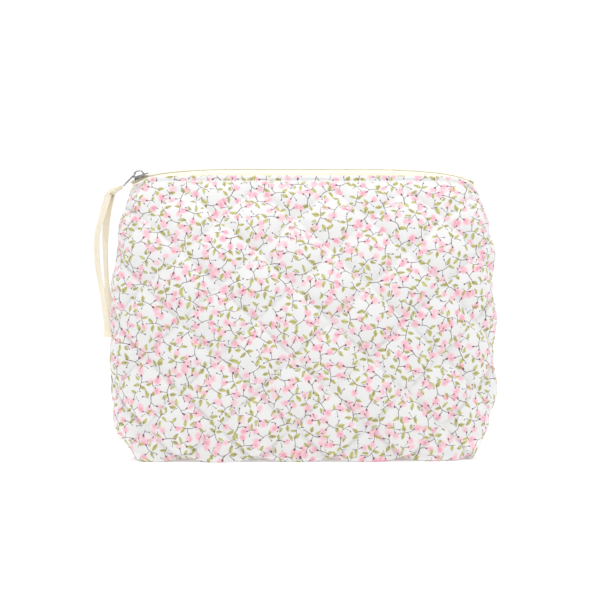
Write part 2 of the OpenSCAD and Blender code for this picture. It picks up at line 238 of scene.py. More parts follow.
def flat_section(width, thick, count=40, power=4):
    """A flat oval with full edges: a superellipse of the given width and thickness."""
    a = np.arange(count) * 2 * np.pi / count
    k = (abs(np.cos(a)) ** power + abs(np.sin(a)) ** power) ** (-1 / power)
    return np.stack([k * np.cos(a) * width / 2, k * np.sin(a) * thick / 2], 1)


def joined(name, parts, material):
    """One mesh from several (points, faces) pairs."""
    points, faces, start = [], [], 0
    for part_points, part_faces in parts:
        points.append(part_points.reshape(-1, 3))
        faces += [np.asarray(f) + start for f in part_faces]
        start += len(points[-1])
    return tidy_mesh(put_mesh(name, np.vstack(points), faces, material))


# ---------------------------------------------------------------- shader helpers

def colour(r, g, b):
    """A linear colour from the usual 0 to 255 numbers."""
    c = np.array([r, g, b]) / 255
    return (*np.where(c <= 0.04045, c / 12.92, ((c + 0.055) / 1.055) ** 2.4).tolist(), 1)


class Value:
    """A number that a shader works out. Its operators add Math nodes."""

    def __init__(self, paint, socket):
        self.paint = paint
        self.socket = socket

    def math(self, operation, *others, clamp=False):
        settings = {"operation": operation, "use_clamp": clamp}
        return self.paint.node("ShaderNodeMath", settings, dict(enumerate((self,) + others)))

    def turned(self, operation, other):
        return self.paint.node("ShaderNodeMath", {"operation": operation}, {0: other, 1: self})

    def __add__(self, other): return self.math("ADD", other)
    def __radd__(self, other): return self.turned("ADD", other)
    def __sub__(self, other): return self.math("SUBTRACT", other)
    def __rsub__(self, other): return self.turned("SUBTRACT", other)
    def __mul__(self, other): return self.math("MULTIPLY", other)
    def __rmul__(self, other): return self.turned("MULTIPLY", other)
    def __truediv__(self, other): return self.math("DIVIDE", other)
    def __abs__(self): return self.math("ABSOLUTE")

    def above(self, edge, soft):
        """0 where this is under edge, and 1 where it is more than soft over it."""
        return ((self - edge) / soft).math("ADD", 0.0, clamp=True)


class Paint:
    """A material being made. node() adds a node and returns one of its outputs."""

    def __init__(self, name, **constants):
        self.material = bpy.data.materials.new(name)
        self.material.use_nodes = True
        self.tree = self.material.node_tree
        self.shader = self.tree.nodes["Principled BSDF"]
        for socket, value in constants.items():
            self.put(self.shader.inputs[socket.replace("_", " ")], value)

    def put(self, socket, value):
        if isinstance(value, Value):
            self.tree.links.new(value.socket, socket)
        else:
            socket.default_value = value

    def node(self, kind, settings=None, inputs=None, output=0):
        made = self.tree.nodes.new(kind)
        for name, value in (settings or {}).items():
            setattr(made, name, value)
        for name, value in (inputs or {}).items():
            self.put(made.inputs[name], value)
        return Value(self, made.outputs[output])

    def outputs(self, value, *names):
        """Other outputs of the node that made a value."""
        return [Value(self, value.socket.node.outputs[n]) for n in names]

    def cloth(self):
        """The flat pattern's two coordinates, in millimetres."""
        flat = self.node("ShaderNodeAttribute", {"attribute_name": "cloth"}, output="Vector")
        return self.node("ShaderNodeVectorMath", {"operation": "SCALE"}, {0: flat, "Scale": 1 / MM})

    def place(self):
        """The place on the piece, in millimetres."""
        at = self.node("ShaderNodeTexCoord", output="Object")
        return self.node("ShaderNodeVectorMath", {"operation": "SCALE"}, {0: at, "Scale": 1 / MM})

    def split(self, vector):
        x = self.node("ShaderNodeSeparateXYZ", inputs={0: vector})
        return self.outputs(x, "X", "Y", "Z")

    def join(self, x, y, z=0.0):
        return self.node("ShaderNodeCombineXYZ", inputs={0: x, 1: y, 2: z})

    def noise(self, vector, size, detail=2.0, rough=0.5):
        """Noise from 0 to 1 with features of about the given size in millimetres."""
        return self.node("ShaderNodeTexNoise", inputs={
            "Vector": vector, "Scale": 1 / size, "Detail": detail, "Roughness": rough})

    def blend(self, factor, first, second):
        """A colour between two."""
        return self.node("ShaderNodeMix", {"data_type": "RGBA"}, {0: factor, 6: first, 7: second}, output=2)

    def bump(self, height, depth, strength=1.0):
        """A bump of the given depth in millimetres."""
        normal = self.node("ShaderNodeBump", inputs={
            "Height": height, "Distance": depth * MM, "Strength": strength})
        self.put(self.shader.inputs["Normal"], normal)

    def finish(self, colour_value=None, roughness=None):
        if colour_value is not None:
            self.put(self.shader.inputs["Base Color"], colour_value)
        if roughness is not None:
            self.put(self.shader.inputs["Roughness"], roughness)
        return self.material


# ---------------------------------------------------------------- the printed cotton

def in_shape(paint, at, x, y, turn, half_l, half_w):
    """Coordinates in a frame at x, y, turned by an angle in degrees, where the shape spans -1 to 1."""
    return paint.node("ShaderNodeMapping", {"vector_type": "TEXTURE"}, {
        "Vector": at, "Location": (x, y, 0), "Rotation": (0, 0, math.radians(turn)),
        "Scale": (half_l, half_w, 1)})


def oval(paint, at, x, y, turn, half_l, half_w):
    """1 at the middle of an oval, 0 at its edge and less outside."""
    spot = in_shape(paint, at, x, y, turn, half_l, half_w)
    return 1 - paint.node("ShaderNodeVectorMath", {"operation": "LENGTH"}, {0: spot}, output="Value")


def leaf(paint, at, x, y, turn, half_l, half_w):
    """A pointed leaf: more than 0 inside. Also how far a point is from its mid-vein."""
    u, v, _ = paint.split(in_shape(paint, at, x, y, turn, half_l, half_w))
    off = abs(v)
    return (1 - u * u) * (1 - u * 0.35).math("MAXIMUM", 0.3) - off, off


def stem(paint, at, x, y, turn, half_l, bend, thick):
    """A thin curved line: more than 0 on it."""
    u, v, _ = paint.split(in_shape(paint, at, x, y, turn, half_l, 1))
    return (thick - abs(v - (1 - u * u) * bend)).math("MINIMUM", (1 - abs(u)) * half_l)


# Three sprigs, in millimetres from the middle of their cell. A leaf, bud or dot has its middle, turn,
# half length and half width. A stem has its middle, turn, half length, bend and half thickness.
LONG_SPRIG = {
    "leaves": [(-4.6, 1.7, 150, 2.7, 1.4), (-4.3, -2.4, -130, 2.6, 1.35)],
    "stems": [(0, 0, 8, 4.3, -0.8, 0.26), (2.3, -2.2, -52, 2.1, 0.4, 0.22), (-2.2, 2.1, 105, 1.9, 0.3, 0.2)],
    "buds": [(6.1, 1.0, 12, 2.8, 2.6), (4.3, -5.5, -58, 2.5, 2.2)],
    "dots": [(3.9, 0.5, 10, 0.95, 0.65), (3.3, -3.7, -52, 0.8, 0.6), (-2.7, 4.1, 0, 0.5, 0.5)]}
FORKED_SPRIG = {
    "leaves": [(-3.0, -1.7, -110, 2.6, 1.3), (-2.7, 3.2, 110, 2.5, 1.25), (1.1, -3.2, -70, 2.2, 1.1)],
    "stems": [(-0.8, 0, -22, 4.4, 0.9, 0.26), (0.3, 2.4, 58, 2.1, -0.3, 0.22),
              (2.2, -2.8, -64, 1.6, 0.3, 0.2)],
    "buds": [(5.3, -2.7, -25, 2.7, 2.5), (2.3, 5.8, 60, 2.4, 2.15)],
    "dots": [(3.3, -1.7, -22, 0.9, 0.6), (1.5, 4.1, 58, 0.75, 0.55), (-5.6, 2.2, 0, 0.5, 0.5),
             (3.0, -4.3, 0, 0.5, 0.5)]}
SMALL_SPRIG = {
    "leaves": [(-1.6, 1.9, 110, 2.2, 1.15)],
    "stems": [(0, 0, 20, 2.8, 0.5, 0.22), (1.4, -1.4, -50, 1.4, 0.2, 0.19)],
    "buds": [(4.1, 1.6, 22, 2.3, 2.0)],
    "dots": [(2.5, 0.9, 20, 0.75, 0.5), (2.4, -2.6, 0, 0.5, 0.5)]}


# The two large sprigs stand at the corners and centres of one square grid, the small one between them.
SPRIG_CELL = 18.6
SPRIG_TURN = 17

# The print's inks, the gap between its specks, and the pitch of the cotton's threads in millimetres.
LEAF_DARK, LEAF_PALE, VEIN = colour(164, 158, 82), colour(206, 206, 128), colour(124, 106, 60)
BUD_EDGE, BUD_HEART, BUD_PALE = colour(244, 202, 212), colour(236, 158, 179), colour(246, 222, 228)
STEM, CALYX, SPECK = colour(98, 68, 66), colour(84, 50, 66), colour(140, 110, 125)
COTTON_DIM, COTTON = colour(228, 229, 229), colour(234, 234, 233)
SPECK_GAP = 7
PRINT_PITCH = 0.55


def most(values):
    """The largest of several values."""
    total = values[0]
    for value in values[1:]:
        total = total.math("MAXIMUM", value)
    return total


def sprigs(paint, flat, shapes, size, turn, shift, seed):
    """One sprig in each cell of a turned square grid, each cell's sprig turned and flipped at random.

    Returns masks from 0 to 1, how far in from a bud's edge a point is, and a number for each cell.
    """
    turned = paint.node("ShaderNodeMapping", {"vector_type": "POINT"}, {
        "Vector": flat, "Rotation": (0, 0, math.radians(turn)), "Scale": (1 / size, 1 / size, 1),
        "Location": (shift, shift, 0)})
    u, v, _ = paint.split(turned)
    column, row = u.math("FLOOR"), v.math("FLOOR")
    chance = paint.node("ShaderNodeTexWhiteNoise", {"noise_dimensions": "3D"}, {
        "Vector": paint.join(column, row, float(seed))}, output="Color")
    spin, shift_x, shift_y = paint.split(chance)
    x = (u - column - 0.5) * size + (shift_x - 0.5) * 1.6
    y = ((v - row - 0.5) * size + (shift_y - 0.5) * 1.6) * (shift_y.above(0.5, 0.001) * 2 - 1)
    at = paint.node("ShaderNodeVectorRotate", {"rotation_type": "Z_AXIS"}, {
        "Vector": paint.join(x, y), "Angle": spin * (2 * math.pi)})
    ragged = (paint.noise(flat, 1.6, 2.0) - 0.5) * 0.5
    leaves = [leaf(paint, at, *shape) for shape in shapes["leaves"]]
    blades = most([blade for blade, _ in leaves])
    veins = most([(blade * 3).math("MINIMUM", 1 - off * 4.5) for blade, off in leaves])
    stems = most([stem(paint, at, *shape) for shape in shapes["stems"]])
    buds = most([oval(paint, at, *shape) for shape in shapes["buds"]])
    calyx = most([oval(paint, at, *shape) for shape in shapes["dots"]])
    return {
        "leaf": (blades + ragged * 0.4).above(0.05, 0.22), "vein": veins.above(0.0, 0.7),
        "stem": stems.above(0.0, 0.08), "bud": (buds + ragged * 0.9).above(-0.05, 0.2), "depth": buds,
        "calyx": calyx.above(0.0, 0.3), "chance": shift_x}


def printed_cotton():
    """White cotton with a small all-over print of pink buds, leaves and thin stems."""
    paint = Paint("printed cotton", Roughness=0.9, Sheen_Weight=0.1, Sheen_Roughness=0.5,
                  Specular_IOR_Level=0.25)
    cloth = paint.cloth()
    drift = paint.node("ShaderNodeTexNoise", inputs={"Vector": cloth, "Scale": 1 / 5, "Detail": 1.0},
                       output="Color")
    flat = paint.node("ShaderNodeVectorMath", {"operation": "MULTIPLY_ADD"},
                      {0: drift, 1: (2.2, 2.2, 0), 2: cloth})
    wash = paint.noise(flat, 3.2, 3.0)
    fine = paint.noise(flat, 0.9, 2.0)
    tone = paint.noise(flat, 60.0, 1.0)
    cloth_colour = paint.blend(tone, COTTON_DIM, COTTON)
    layers = [sprigs(paint, flat, LONG_SPRIG, SPRIG_CELL, SPRIG_TURN, 0.0, 3),
              sprigs(paint, flat, FORKED_SPRIG, SPRIG_CELL, SPRIG_TURN, 0.5, 11),
              sprigs(paint, flat, SMALL_SPRIG, SPRIG_CELL / math.sqrt(2), SPRIG_TURN + 45, 0.0, 7)]
    for sprig in layers:
        leaf_colour = paint.blend(wash.above(0.36, 0.24), LEAF_DARK, LEAF_PALE)
        leaf_colour = paint.blend(sprig["vein"] * 0.6, leaf_colour, VEIN)
        cloth_colour = paint.blend(sprig["leaf"] * (fine * 0.3 + 0.78), cloth_colour, leaf_colour)
        cloth_colour = paint.blend(sprig["stem"] * 0.85, cloth_colour, STEM)
        bud_colour = paint.blend(sprig["depth"].above(0.15, 0.6), BUD_EDGE, BUD_HEART)
        bud_colour = paint.blend(wash.above(0.46, 0.2) * 0.6, bud_colour, BUD_PALE)
        strength = (sprig["chance"] * 0.4 + 0.6) * (fine * 0.4 + 0.78)
        cloth_colour = paint.blend(sprig["bud"] * strength, cloth_colour, bud_colour)
        cloth_colour = paint.blend(sprig["calyx"] * 0.9, cloth_colour, CALYX)
    specks = paint.node("ShaderNodeTexVoronoi", {"feature": "F1"}, {"Vector": flat, "Scale": 1 / SPECK_GAP},
                        output="Distance")
    cloth_colour = paint.blend((1 - specks.above(0.04, 0.03)) * 0.55, cloth_colour, SPECK)
    x, y, _ = paint.split(cloth)
    thread = 2 * math.pi / PRINT_PITCH
    weave = (x * thread).math("SINE") * (y * thread).math("SINE")
    creases = paint.noise(cloth, 9.0, 4.0, 0.6)
    paint.bump(weave * 0.05 + fine * 0.2 + creases * 0.9, 0.45)
    return paint.finish(cloth_colour)


def plain_weave(name, light, dark, pitch, twill=0.0, depth=0.12):
    """Plain cloth: crossing threads with painted shade that makes it a little darker between them, and uneven
    yarn. twill slants the rib.
    """
    paint = Paint(name, Roughness=0.88, Sheen_Weight=0.15, Sheen_Roughness=0.5, Specular_IOR_Level=0.25)
    flat = paint.cloth()
    x, y, _ = paint.split(flat)
    warp = ((x + y * twill) * (2 * math.pi / pitch)).math("SINE")
    weft = (y * (2 * math.pi / pitch)).math("SINE")
    threads = warp * 0.5 + weft * 0.3 + 0.5 if twill else warp * weft * 0.5 + 0.5
    yarn = paint.noise(flat, 2.5, 3.0)
    # The colour is painted shade between the threads, mixed with the yarn's own uneven tone.
    shade = paint.blend((threads * 0.45 + yarn * 0.55), colour(*dark), colour(*light))
    paint.bump(threads * 0.6 + yarn * 0.4, depth)
    return paint.finish(shade)


def soft_fibre():
    """White polyester wadding: a cloudy, fibrous surface."""
    paint = Paint("wadding fibre", Roughness=1.0, Sheen_Weight=0.3, Specular_IOR_Level=0.1)
    at = paint.place()
    clouds = paint.noise(at, 4.0, 6.0, 0.7)
    paint.bump(clouds, 0.8)
    return paint.finish(paint.blend(clouds, colour(225, 225, 224), colour(248, 248, 247)))


def nylon():
    """Satin cream nylon, a little cloudy."""
    paint = Paint("nylon coil", Roughness=0.42, Specular_IOR_Level=0.45, Coat_Weight=0.1)
    at = paint.place()
    cloud = paint.noise(at, 3.0, 2.0)
    return paint.finish(paint.blend(cloud, colour(250, 244, 222), colour(254, 250, 236)), cloud * 0.15 + 0.35)


def spun_thread():
    """Twisted sewing thread: fine slanting plies, with painted shade in the grooves between them."""
    paint = Paint("sewing thread", Roughness=0.7, Sheen_Weight=0.2, Specular_IOR_Level=0.3)
    x, y, z = paint.split(paint.place())
    plies = ((x + z * 0.6 + y * 0.4) * (2 * math.pi / 0.35)).math("SINE")
    paint.bump(plies, 0.05)
    # The colour is painted shade: darker in the grooves between the plies and lighter on their crests.
    return paint.finish(paint.blend(plies * 0.5 + 0.5, colour(232, 228, 216), colour(250, 248, 240)))


def nickel():
    """Bright nickel plate with fine scratches and duller patches where it is handled."""
    paint = Paint("nickel plate", Metallic=1.0)
    at = paint.place()
    wear = paint.noise(at, 1.5, 5.0, 0.65)
    stretched = paint.node("ShaderNodeMapping", inputs={"Vector": at, "Scale": (0.3, 6, 6)})
    scratches = paint.noise(stretched, 1.0, 3.0)
    paint.bump(scratches, 0.015)
    return paint.finish(paint.blend(wear, colour(140, 140, 143), colour(196, 195, 194)), wear * 0.2 + 0.1)


PRINT = printed_cotton()
# Each weave's darker colour is partly painted shade between its threads and partly the yarn's own tone.
LINING = plain_weave("lining cotton", (246, 243, 236), (228, 224, 214), 0.6)
TAPE = plain_weave("zip tape", (254, 250, 232), (246, 238, 212), 0.9)
BIAS = plain_weave("bias tape", (246, 240, 226), (226, 218, 198), 0.6)
TWILL = plain_weave("twill ribbon", (250, 243, 226), (236, 225, 200), 0.8, twill=0.9, depth=0.15)
WADDING = soft_fibre()
NYLON = nylon()
THREAD = spun_thread()
NICKEL = nickel()


# ---------------------------------------------------------------- camera and light

VIEW_TURN = math.radians(-3)
VIEW_LIFT = math.radians(1.5)
VIEW_DISTANCE = 2.0
LOOK_AT = np.array([-1.6, 0, 98.75]) * MM


def add_camera():
    """A long lens, a little left of the middle and a little above the bag's half height."""
    data = bpy.data.cameras.new("camera")
    data.lens = 96 * VIEW_DISTANCE
    camera = bpy.data.objects.new("camera", data)
    back = np.array([math.sin(VIEW_TURN) * math.cos(VIEW_LIFT), -math.cos(VIEW_TURN) * math.cos(VIEW_LIFT),
                     math.sin(VIEW_LIFT)])
    camera.location = LOOK_AT + VIEW_DISTANCE * back
    camera.rotation_euler = (math.pi / 2 - VIEW_LIFT, 0, VIEW_TURN)
    bpy.context.collection.objects.link(camera)
    bpy.context.scene.camera = camera


def add_area_light(name, place, size, power):
    """A square soft light that points at the bag."""
    data = bpy.data.lights.new(name, "AREA")
    data.size = size
    data.energy = power
    light = bpy.data.objects.new(name, data)
    aim = LOOK_AT - np.array(place)
    light.location = place
    flat = math.hypot(aim[0], aim[1])
    light.rotation_euler = (math.atan2(flat, -aim[2]), 0, math.atan2(-aim[0], aim[1]))
    bpy.context.collection.objects.link(light)


def add_stage():
    """A wide pale floor with a faint glow of painted light that keeps it white and softens shadows, under a
    white sky that is dimmer behind the camera, and a soft light from above.
    """
    # The floor's faint white glow is painted light: it keeps the floor white, softens the shadow under the
    # bag and lights the bag's lower side a little.
    paint = Paint("floor", Roughness=0.9, Specular_IOR_Level=0.1, Emission_Color=(1, 1, 1, 1),
                  Emission_Strength=0.29)
    cloud = paint.noise(paint.place(), 400.0, 1.0)
    material = paint.finish(paint.blend(cloud, colour(248, 248, 248), colour(252, 252, 252)))
    half = 6.0
    corners = np.array([[-half, -half, 0], [half, -half, 0], [half, half, 0], [-half, half, 0]])
    put_mesh("floor", corners, [[0, 1, 2, 3]], material)
    world = bpy.data.worlds.new("sky")
    world.use_nodes = True
    tree = world.node_tree
    sky = tree.nodes["Background"]
    sky.inputs["Color"].default_value = (1, 1, 1, 1)
    way = tree.nodes.new("ShaderNodeTexCoord")
    split = tree.nodes.new("ShaderNodeSeparateXYZ")
    shade = tree.nodes.new("ShaderNodeMapRange")
    shade.interpolation_type = "SMOOTHSTEP"
    for socket, value in (("From Min", -0.9), ("From Max", -0.05), ("To Min", 0.12), ("To Max", 1.04)):
        shade.inputs[socket].default_value = value
    tree.links.new(way.outputs["Generated"], split.inputs[0])
    tree.links.new(split.outputs["Y"], shade.inputs["Value"])
    tree.links.new(shade.outputs["Result"], sky.inputs["Strength"])
    bpy.context.scene.world = world
    add_area_light("key", (0.03, -0.42, 1.15), 0.4, 7.6)
    bpy.context.scene.view_settings.view_transform = "Standard"


add_camera()
add_stage()


# ---------------------------------------------------------------- ribbon

def make_ribbon():
    """A flat woven ribbon swept along its route, turned a little as it falls."""
    path = curve_through(RIBBON, 220)
    share = np.linspace(0, 1, len(path))
    twist = math.radians(14) * np.sin(2 * np.pi * share) ** 2 + math.radians(4) * np.sin(6 * np.pi * share)
    turn = RIBBON_TURN + twist
    wide = np.stack([np.cos(turn), -np.sin(turn), 0 * turn], 1)
    section = flat_section(RIBBON_W, RIBBON_T)
    cup = 0.35 * MM * np.sin(5 * np.pi * share)[:, None] * (1 - (2 * section[None, :, 0] / RIBBON_W) ** 2)
    shape = np.repeat(section[None], len(path), 0)
    shape[..., 1] += cup
    cloth = np.stack([np.repeat(section[None, :, 0], len(path), 0),
                      np.repeat(share[:, None] * RIBBON_LENGTH, len(section), 1)], -1)
    ribbon = tube("pull_ribbon_visual", path, wide, shape, TWILL, cloth=cloth)
    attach(ribbon, "ribbon")
    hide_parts("pull_ribbon")
    return ribbon, path


def make_hitch():
    """The gathered ribbon that ties the loop to the ring: a folded bundle, and a turn round it."""
    foot = RIBBON[[0, -1]].mean(0)
    along = np.array([-math.cos(KNOT_SLOPE), 0, -math.sin(KNOT_SLOPE)])
    start = RING_END + 0.9 * MM * along
    path = curve_through(np.array([
        start, start + 3.2 * MM * along, start + 6.6 * MM * along + [0, 0.4 * MM, 0],
        foot + [0.2 * MM, 0, 0.7 * MM], foot - [0.2 * MM, 0, 2.2 * MM]]), 60)
    a = np.arange(64) * 2 * np.pi / 64
    share = np.linspace(0, 1, len(path))[:, None]
    swell = 0.85 * smooth(share, 0.0, 0.6) + 0.2 * np.sin(np.pi * share) - 0.3 * smooth(share, 0.8, 1.0)
    folds = 1 + 0.13 * np.cos(5 * a + 2.5 * share) + 0.05 * np.cos(9 * a - 4 * share)
    radius = MM * (1.25 + swell) * folds
    bundle = np.stack([radius * np.cos(a) * 1.12, radius * np.sin(a) * 0.8], -1)
    cloth = np.stack([a * 2.4 * MM + 0 * share, 14 * MM * share + 0 * a], -1)
    body = tube("hitch_bundle", path, ALONG_Y, bundle, TWILL, cloth=cloth)
    middle = path[30]
    out = unit(np.gradient(path, axis=0))[30]
    up = np.cross(out, ALONG_Y)
    wrap = middle + MM * (2.2 * np.cos(a)[:, None] * ALONG_Y + np.sin(a)[:, None] * (1.85 * up + 0.9 * out))
    band = flat_section(2.6 * MM, 0.8 * MM, 24)
    cloth = np.stack([np.repeat(band[None, :, 0], 64, 0), np.repeat(a[:, None] * 2.5 * MM, 24, 1)], -1)
    turn = tidy_mesh(put_mesh("hitch_turn", sweep_ring(wrap, middle, band),
                              grid_faces(64, 24, wrap=True, ring=True), TWILL, cloth))
    for piece in (body, turn):
        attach(piece, "hitch")
    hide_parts("ribbon_knot")
    return body, turn


def sweep_ring(path, centre, section):
    """A section carried round a closed path, its flat side towards the centre."""
    tangent = unit(np.roll(path, -1, 0) - np.roll(path, 1, 0))
    out = path - centre
    out = unit(out - (out * tangent).sum(1, keepdims=True) * tangent)
    wide = np.cross(tangent, out)
    return path[:, None] + section[None, :, :1] * wide[:, None] + section[None, :, 1:] * out[:, None]


ribbon, ribbon_path = make_ribbon()
hitch = make_hitch()


# ---------------------------------------------------------------- the bag's shape

def climb(z):
    """Share of the way from the widest section up to the hem."""
    return (z - BULGE_Z) / (HEM_Z - BULGE_Z)


def half_width(z):
    """Half width of the level section at height z."""
    low = BODY_W / 2 - (BODY_W - BASE_W) / 2 * np.clip(1 - z / BULGE_Z, 0, 1) ** BASE_TURN
    return np.where(z < BULGE_Z, low, BODY_W / 2 - (BODY_W - MOUTH_W) / 2 * np.clip(climb(z), 0, 2) ** 3)


def half_depth(z):
    """Half depth of the level section at height z."""
    low = BODY_D / 2 - (BODY_D - BASE_D) / 2 * np.clip(1 - z / BULGE_Z, 0, 1) ** BASE_TURN
    high = MOUTH_D / 2 + (BODY_D - MOUTH_D) / 2 * (1 - np.clip(climb(z), 0, 2) ** 2)
    return np.where(z < BULGE_Z, low, high)


def corner(a, z):
    """The point at angle a of the squarish unit outline of the section at height z."""
    n = MID_SQUARENESS + (HEM_SQUARENESS - MID_SQUARENESS) * climb(z) ** 2
    k = (abs(np.cos(a)) ** n + abs(np.sin(a)) ** n) ** (-1 / n)
    return k * np.cos(a), k * np.sin(a)


def slouch(points):
    """The soft bag's own lean: its left shoulder is drawn in a little."""
    out = points.copy()
    x, z = points[..., 0], points[..., 2]
    drawn = 2.8 * MM * smooth(z, 90 * MM, 140 * MM) * (1 - 0.6 * smooth(z, 150 * MM, 176 * MM))
    out[..., 0] += drawn * smooth(-x, 40 * MM, 118 * MM)
    return out


def wall(a, z, inset=0.0):
    """Points of the front wall at angle a and height z, moved inwards by inset; the hem's ends fall."""
    ox, oy = corner(a, z)
    fall = np.where(z < BULGE_Z, 0, SHOULDER_DROP * np.clip(climb(z), 0, 2) ** 4) * abs(ox) ** DROP_TURN
    depth = np.maximum(half_depth(z) - inset, 0.1 * MM)
    return slouch(np.stack([(half_width(z) - inset) * ox, -depth * oy, z - fall + 0 * a], -1))


# The hem's roll and where it starts, the rounding of the base's edge, and a layer's parts in order.
HEM_ROLL = WALL_T / 2
ROLL_Z = HEM_Z - HEM_ROLL + 0.4 * MM
EDGE = 5 * MM
BASE_PART, EDGE_PART, WALL_PART, ROLL_PART = range(4)


def layer_grid(columns, wall_rows, inset=0.0, roll=False):
    """Rows of points from the base's middle line to the hem, and what part each row belongs to.

    The base is flat. A curve of three control points rounds its edge. The wall follows the level
    sections, and the printed cloth then turns over the hem in a half circle and down inside.
    """
    a = np.linspace(0, np.pi, columns)[None]
    edge_in = wall(a, np.full((1, 1), 0.0), inset)
    base_k = np.linspace(0, 1 - EDGE / (BASE_D / 2), 22)[:, None]
    base_y = edge_in[..., 1] * base_k
    base = np.stack([edge_in[..., 0] + 0 * base_k, base_y, inset + 0 * base_y], -1)
    t = np.linspace(0, 1, 9)[1:-1][:, None, None]
    start = base[-1:]
    knee = edge_in + [0, 0, inset]
    knee[..., 2] = inset
    low_z = inset + EDGE * 0.9
    finish = wall(a, np.full((1, 1), low_z), inset)
    bend = (1 - t) ** 2 * start + 2 * t * (1 - t) * knee + t ** 2 * finish
    top = ROLL_Z if roll else HEM_Z - inset - 0.6 * MM
    z = np.linspace(low_z, top, wall_rows)[:, None]
    side = wall(a, z, inset)
    rows = [base, bend, side]
    if roll:
        turn = np.linspace(0, np.pi, 10)[1:][:, None]
        over = wall(a, ROLL_Z + 0 * turn, HEM_ROLL * (1 - np.cos(turn)))
        over[..., 2] += HEM_ROLL * np.sin(turn)
        down = wall(a, ROLL_Z + 0 * turn[:4], WALL_T + 0 * turn[:4])
        down[..., 2] -= np.linspace(0, 4 * MM, 5)[1:, None]
        rows += [over, down]
    points = np.concatenate(rows, 0)
    kind = np.concatenate([np.full(len(part), i) for i, part in enumerate(rows)])
    return points, kind


def wall_span(kind):
    """The first and the last row of a layer's grid that belong to the wall."""
    rows = np.flatnonzero(kind == WALL_PART)
    return rows[0], rows[-1]


def flat_pattern(points, kind):
    """Lengths along the cloth: across from the middle, and up from the base's edge."""
    step = np.linalg.norm(np.diff(points, axis=1), axis=2)
    across = np.concatenate([np.zeros((len(points), 1)), np.cumsum(step, 1)], 1)
    across = across[:, -1:] / 2 - across
    first_wall = wall_span(kind)[0]
    across[:first_wall] = across[first_wall]
    rise = np.linalg.norm(np.diff(points, axis=0), axis=2)
    middle = rise[:, rise.shape[1] // 2]
    up = np.append(0, np.cumsum(middle))
    up -= up[first_wall - 4]
    return np.stack([across, np.repeat(up[:, None], points.shape[1], 1)], -1)


def quilting(cloth):
    """The quilting at places on the flat pattern: puff, gathers beside the seams, and distance from a seam.

    Two sets of slanting seams cross. Each set is a sine that is 0 on its seams. The puff is the root of
    the two sines' product, so it is round between the seams and creased on them.
    """
    p = (cloth[..., 0] - DIAMOND_X) / DIAMOND_W
    q = (cloth[..., 1] - DIAMOND_Z) / DIAMOND_H
    one = abs(np.sin(np.pi * (p + q)))
    two = abs(np.sin(np.pi * (p - q)))
    from_seam = np.minimum(one, two)
    turns = 2 * np.pi * GATHERS
    ripple = np.sin(turns * (p + q) + 3 * np.sin(7 * q)) * np.sin(turns * (p - q) + 2 * np.sin(9 * p))
    return (one * two) ** 0.5, np.exp(-from_seam / 0.18) * ripple, from_seam


def creases(cloth, seed):
    """Slow, slanting waves of loose cloth: a sum of sines with fixed random directions."""
    chance = np.random.default_rng(seed)
    total = np.zeros(cloth.shape[:2])
    for _ in range(7):
        angle = chance.uniform(0, np.pi)
        length = chance.uniform(28, 75) * MM
        along = cloth[..., 0] * math.cos(angle) + cloth[..., 1] * math.sin(angle)
        total += np.sin(2 * np.pi * along / length + chance.uniform(0, 6.28)) / 7
    return total


def groove(distance, at, width):
    """A smooth groove, 1 deep in its middle, at a distance from a seam."""
    return np.exp(-((distance - at) / width) ** 2)


def relief(kind, cloth, seed):
    """How far the printed cloth stands out from the plain shell, everywhere on a layer's grid.

    The quilting fades out near the side seams and the hem. Grooves follow the side seams, where the
    quilting's own seams pinch them in, the fold beside them, and the stitching under the hem.
    """
    puff, gather, _ = quilting(cloth)
    up = cloth[..., 1]
    from_side = abs(cloth[:, :1, 0]) - abs(cloth[..., 0])
    from_hem = cloth[wall_span(kind)[1], 0, 1] - up
    held = smooth(from_side, 0, 11 * MM) * smooth(from_hem, 3 * MM, 13 * MM)
    height = held * (PUFF * (puff - PUFF_MEAN) + GATHER_DEPTH * gather + SLACK * creases(cloth, seed))
    pinch = 1 - abs(np.sin(np.pi * (up - 31 * MM) / DIAMOND_H))
    height -= (0.6 + 1.3 * pinch) * MM * groove(from_side, 0, 2.6 * MM)
    height -= 1.2 * MM * groove(from_hem, 1.3 * MM, 0.9 * MM)
    height -= 1.0 * MM * groove(from_side, 14 * MM, 4 * MM) * smooth(up, 60 * MM, 110 * MM)
    height[kind >= ROLL_PART] = 0
    return height


def outward(points):
    """Unit normals of a front layer's grid; the flat base's point down."""
    normal = np.cross(np.gradient(points, axis=0), np.gradient(points, axis=1))
    size = np.linalg.norm(normal, axis=2, keepdims=True)
    return np.where(size > 1e-12, normal / np.maximum(size, 1e-12), [0, 0, -1.0])


def raised(points, kind, height):
    """The grid moved out by height along its normals. The base stands on the floor, so its puffs are flat."""
    normal = outward(points)
    flat_base = (kind == BASE_PART)[:, None] | (points[..., 2] < 1e-5)
    peak = PUFF * (1 - PUFF_MEAN)
    out = points + normal * np.where(flat_base, np.minimum(height - peak, 0) * 0.5, height)[..., None]
    out[..., 2] = np.maximum(out[..., 2], 0.05 * MM)
    return out


# How far a lip would bow: the share rises between two heights, is 0 at both ends and is full from BOW[1] to
# BOW[2].
BEND = FOLD_Z - 26 * MM, FOLD_Z + 24 * MM
BOW = -96 * MM, -42 * MM, 24 * MM, 90 * MM


def open_with(piece):
    """Bakes a piece's transform and works out how far it would bow open with its lip, but not below the fold,
    at the ends or past the slider; the piece is not moved.
    """
    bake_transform(piece)
    x, _, z = points_of(piece).T
    share = smooth(z, *BEND) * smooth(x, *BOW[:2]) * (1 - smooth(x, *BOW[2:]))


def to_side(points, side):
    """Front points, or the same points mirrored to the back."""
    return points * ([1, 1, 1] if side == "front" else [1, -1, 1])


